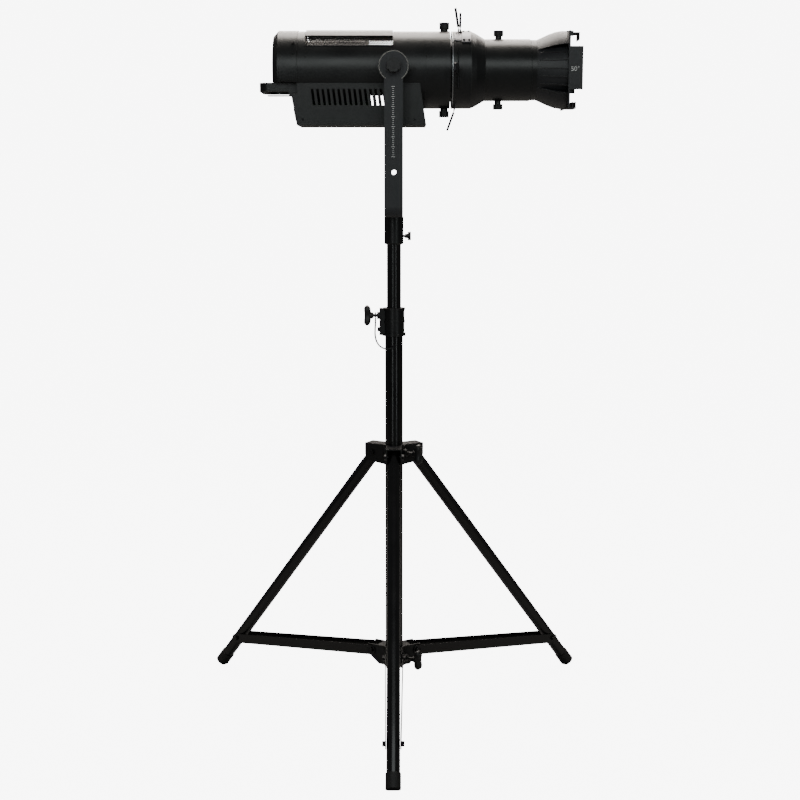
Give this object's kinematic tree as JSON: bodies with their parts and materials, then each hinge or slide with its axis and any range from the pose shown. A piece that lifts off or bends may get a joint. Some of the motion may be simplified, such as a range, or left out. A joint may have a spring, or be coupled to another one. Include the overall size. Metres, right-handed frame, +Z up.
{
  "type": "ellipsoidal spotlight on stand",
  "caption": "LED ellipsoidal spotlight with framing shutters, focusing lens tube and colour-frame holder, in a tilting yoke on a folding tripod stand.",
  "frame": {"origin": "on the floor under the column's axis, in the middle of the three feet", "axes": "+X along the beam, +Z up, so the front leg points along -Y"},
  "size_m": [0.9914, 0.8634, 1.7408],
  "materials": {
    "stand_tube": "black gloss powder coat",
    "stand_casting": "black satin paint",
    "fastener": "black oxide",
    "rubber_foot": "matte",
    "knob": "fine texture",
    "yoke_coat": "dark grey matte powder coat",
    "lamp_coat": "black satin powder coat",
    "housing_coat": "black satin powder coat",
    "holder_coat": "dark grey powder coat",
    "heat_sink_metal": "plain",
    "led": "white board with a yellow emitter",
    "circuit_board": "green solder mask",
    "lens_glass": "polished",
    "blade_steel": "brushed, black handles",
    "panel_plastic": "matte",
    "button_rubber": "matte",
    "lanyard_cord": "braided"
  },
  "bodies": {
    "hub": {"hub_casting": "stand_casting", "hub_bolts": "fastener"},
    "collar": {"collar_casting": "stand_casting", "collar_bolts": "fastener"},
    "column": {"column_tube": "stand_tube", "clamp_casting": "stand_casting", "clamp_fasteners": "fastener", "lanyard": "lanyard_cord"},
    "mast": {"mast_tube": "stand_tube"},
    "head": {"adapter_sleeve": "stand_casting", "yoke": "yoke_coat", "yoke_bolt": "fastener"},
    "hub_knob": {"hub_knob": "knob"},
    "collar_knob": {"collar_knob": "knob"},
    "mast_knob": {"mast_knob": "knob"},
    "adapter_screw": {"adapter_screw": "fastener"},
    "lamp": {"tilt_trunnions": "lamp_coat", "rear_cover": "lamp_coat", "body_shell": "lamp_coat", "top_grille": "housing_coat", "heat_sink": "heat_sink_metal", "led_board": "led", "condenser_lens": "lens_glass", "lower_housing": "housing_coat", "rear_sockets": "panel_plastic", "driver_board": "circuit_board", "control_panel": "panel_plastic", "rear_handle": "housing_coat", "cover_screws": "fastener"},
    "tilt_knob_near": {"tilt_knob_near": "knob"},
    "tilt_knob_far": {"tilt_knob_far": "knob"},
    "fan": {"fan_rotor": "panel_plastic"},
    "barrel_lock_top": {"barrel_lock_top": "knob"},
    "barrel_lock_bottom": {"barrel_lock_bottom": "knob"},
    "barrel": {"shutter_housing": "lamp_coat", "lens_barrel": "lamp_coat"},
    "gobo_holder": {"gobo_holder": "blade_steel"},
    "focus_knob_top": {"focus_knob_top": "knob"},
    "focus_knob_bottom": {"focus_knob_bottom": "knob"},
    "lens_tube": {"lens_tube": "lamp_coat", "lenses": "lens_glass", "accessory_holder": "holder_coat"},
    "latch": {"accessory_latch": "holder_coat"},
    "leg_front": {"leg_tube_front": "stand_tube", "foot_front": "rubber_foot"},
    "spreader_front": {"spreader_front": "stand_tube"},
    "leg_right": {"leg_tube_right": "stand_tube", "foot_right": "rubber_foot"},
    "spreader_right": {"spreader_right": "stand_tube"},
    "leg_left": {"leg_tube_left": "stand_tube", "foot_left": "rubber_foot"},
    "spreader_left": {"spreader_left": "stand_tube"},
    "shutter_top": {"shutter_top": "blade_steel"},
    "shutter_near": {"shutter_near": "blade_steel"},
    "shutter_bottom": {"shutter_bottom": "blade_steel"},
    "shutter_far": {"shutter_far": "blade_steel"},
    "button_menu": {"button_menu": "button_rubber"},
    "button_up": {"button_up": "button_rubber"},
    "button_down": {"button_down": "button_rubber"},
    "button_enter": {"button_enter": "button_rubber"}
  },
  "joints": [
    {"name": "collar_slide", "type": "slide", "parent": "hub", "child": "collar", "axis": [0, 0, 1], "range_m": [0, 0.24063]},
    {"name": "leg_front_fold", "type": "hinge", "parent": "hub", "child": "leg_front", "pos_m": [0, -0.054, 0.652], "axis": [1, 0, 0], "range_deg": [0, 30.92]},
    {"name": "spreader_front_fold", "type": "hinge", "parent": "collar", "child": "spreader_front", "pos_m": [0, -0.057, 0.132], "axis": [1, 0, 0], "range_deg": [0, 73.17]},
    {"name": "leg_right_fold", "type": "hinge", "parent": "hub", "child": "leg_right", "pos_m": [0.04677, 0.027, 0.652], "axis": [-0.5, 0.866, 0], "range_deg": [0, 30.92]},
    {"name": "spreader_right_fold", "type": "hinge", "parent": "collar", "child": "spreader_right", "pos_m": [0.04936, 0.0285, 0.132], "axis": [-0.5, 0.866, 0], "range_deg": [0, 73.17]},
    {"name": "leg_left_fold", "type": "hinge", "parent": "hub", "child": "leg_left", "pos_m": [-0.04677, 0.027, 0.652], "axis": [-0.5, -0.866, 0], "range_deg": [0, 30.92]},
    {"name": "spreader_left_fold", "type": "hinge", "parent": "collar", "child": "spreader_left", "pos_m": [-0.04936, 0.0285, 0.132], "axis": [-0.5, -0.866, 0], "range_deg": [0, 73.17]},
    {"name": "column_slide", "type": "slide", "parent": "hub", "child": "column", "axis": [0, 0, 1], "range_m": [-0.075, 0]},
    {"name": "mast_slide", "type": "slide", "parent": "column", "child": "mast", "axis": [0, 0, 1], "range_m": [-0.15, 0.45]},
    {"name": "head_pan", "type": "hinge", "parent": "mast", "child": "head", "pos_m": [0, 0, 1.2], "axis": [0, 0, 1], "continuous": true},
    {"name": "hub_knob_turn", "type": "hinge", "parent": "hub", "child": "hub_knob", "pos_m": [0.05196, -0.03, 0.656], "axis": [0.866, -0.5, 0], "range_deg": [-360, 0]},
    {"name": "collar_knob_turn", "type": "hinge", "parent": "collar", "child": "collar_knob", "pos_m": [0.05196, -0.03, 0.12], "axis": [0.866, -0.5, 0], "range_deg": [-360, 0]},
    {"name": "mast_knob_turn", "type": "hinge", "parent": "column", "child": "mast_knob", "pos_m": [-0.057, 0, 1.001], "axis": [-1, 0, 0], "range_deg": [-360, 0]},
    {"name": "adapter_screw_turn", "type": "hinge", "parent": "head", "child": "adapter_screw", "pos_m": [0.034, 0, 1.197], "axis": [1, 0, 0], "range_deg": [-360, 0]},
    {"name": "lamp_tilt", "type": "hinge", "parent": "head", "child": "lamp", "pos_m": [0, 0, 1.595], "axis": [0, 1, 0], "range_deg": [-90, 50]},
    {"name": "tilt_knob_near_turn", "type": "hinge", "parent": "lamp", "child": "tilt_knob_near", "pos_m": [0, -0.15, 1.595], "axis": [0, -1, 0], "range_deg": [-360, 0]},
    {"name": "tilt_knob_far_turn", "type": "hinge", "parent": "lamp", "child": "tilt_knob_far", "pos_m": [0, 0.15, 1.595], "axis": [0, 1, 0], "range_deg": [-360, 0]},
    {"name": "fan_spin", "type": "hinge", "parent": "lamp", "child": "fan", "pos_m": [-0.253, 0, 1.623], "axis": [1, 0, 0], "continuous": true},
    {"name": "barrel_lock_top_turn", "type": "hinge", "parent": "lamp", "child": "barrel_lock_top", "pos_m": [0.1215, 0, 1.695], "axis": [0, 0, 1], "range_deg": [-360, 0]},
    {"name": "barrel_lock_bottom_turn", "type": "hinge", "parent": "lamp", "child": "barrel_lock_bottom", "pos_m": [0.1215, 0, 1.495], "axis": [0, 0, -1], "range_deg": [-360, 0]},
    {"name": "barrel_turn", "type": "hinge", "parent": "lamp", "child": "barrel", "pos_m": [0.16, 0, 1.595], "axis": [1, 0, 0], "range_deg": [-25, 25]},
    {"name": "gobo_slide", "type": "slide", "parent": "barrel", "child": "gobo_holder", "axis": [0, 0, 1], "range_m": [0, 0.085]},
    {"name": "shutter_top_slide", "type": "slide", "parent": "barrel", "child": "shutter_top", "axis": [0, -0.0698, 0.9976], "range_m": [0, 0.042]},
    {"name": "shutter_near_slide", "type": "slide", "parent": "barrel", "child": "shutter_near", "axis": [0, -0.9994, -0.0349], "range_m": [0, 0.042]},
    {"name": "shutter_bottom_slide", "type": "slide", "parent": "barrel", "child": "shutter_bottom", "axis": [0, -0.0349, -0.9994], "range_m": [0, 0.042]},
    {"name": "shutter_far_slide", "type": "slide", "parent": "barrel", "child": "shutter_far", "axis": [0, 0.9994, -0.0349], "range_m": [0, 0.042]},
    {"name": "focus_knob_top_turn", "type": "hinge", "parent": "barrel", "child": "focus_knob_top", "pos_m": [0.252, 0, 1.675], "axis": [0, 0, 1], "range_deg": [-360, 0]},
    {"name": "focus_knob_bottom_turn", "type": "hinge", "parent": "barrel", "child": "focus_knob_bottom", "pos_m": [0.252, 0, 1.515], "axis": [0, 0, -1], "range_deg": [-360, 0]},
    {"name": "focus_slide", "type": "slide", "parent": "barrel", "child": "lens_tube", "axis": [1, 0, 0], "range_m": [0, 0.04]},
    {"name": "latch_open", "type": "hinge", "parent": "lens_tube", "child": "latch", "pos_m": [0.425, 0, 1.681], "axis": [0, 1, 0], "range_deg": [-100, 0]},
    {"name": "button_menu_press", "type": "slide", "parent": "lamp", "child": "button_menu", "axis": [0, -1, 0], "range_m": [0, 0.0015], "stiffness_N_per_m": 400},
    {"name": "button_up_press", "type": "slide", "parent": "lamp", "child": "button_up", "axis": [0, -1, 0], "range_m": [0, 0.0015], "stiffness_N_per_m": 400},
    {"name": "button_down_press", "type": "slide", "parent": "lamp", "child": "button_down", "axis": [0, -1, 0], "range_m": [0, 0.0015], "stiffness_N_per_m": 400},
    {"name": "button_enter_press", "type": "slide", "parent": "lamp", "child": "button_enter", "axis": [0, -1, 0], "range_m": [0, 0.0015], "stiffness_N_per_m": 400}
  ],
  "couplings": [
    {"joint": "leg_front_fold", "follows": "collar_slide", "rad_per_m": 2.2412},
    {"joint": "spreader_front_fold", "follows": "collar_slide", "rad_per_m": 5.3058},
    {"joint": "leg_right_fold", "follows": "collar_slide", "rad_per_m": 2.2412},
    {"joint": "spreader_right_fold", "follows": "collar_slide", "rad_per_m": 5.3058},
    {"joint": "leg_left_fold", "follows": "collar_slide", "rad_per_m": 2.2412},
    {"joint": "spreader_left_fold", "follows": "collar_slide", "rad_per_m": 5.3058}
  ]
}
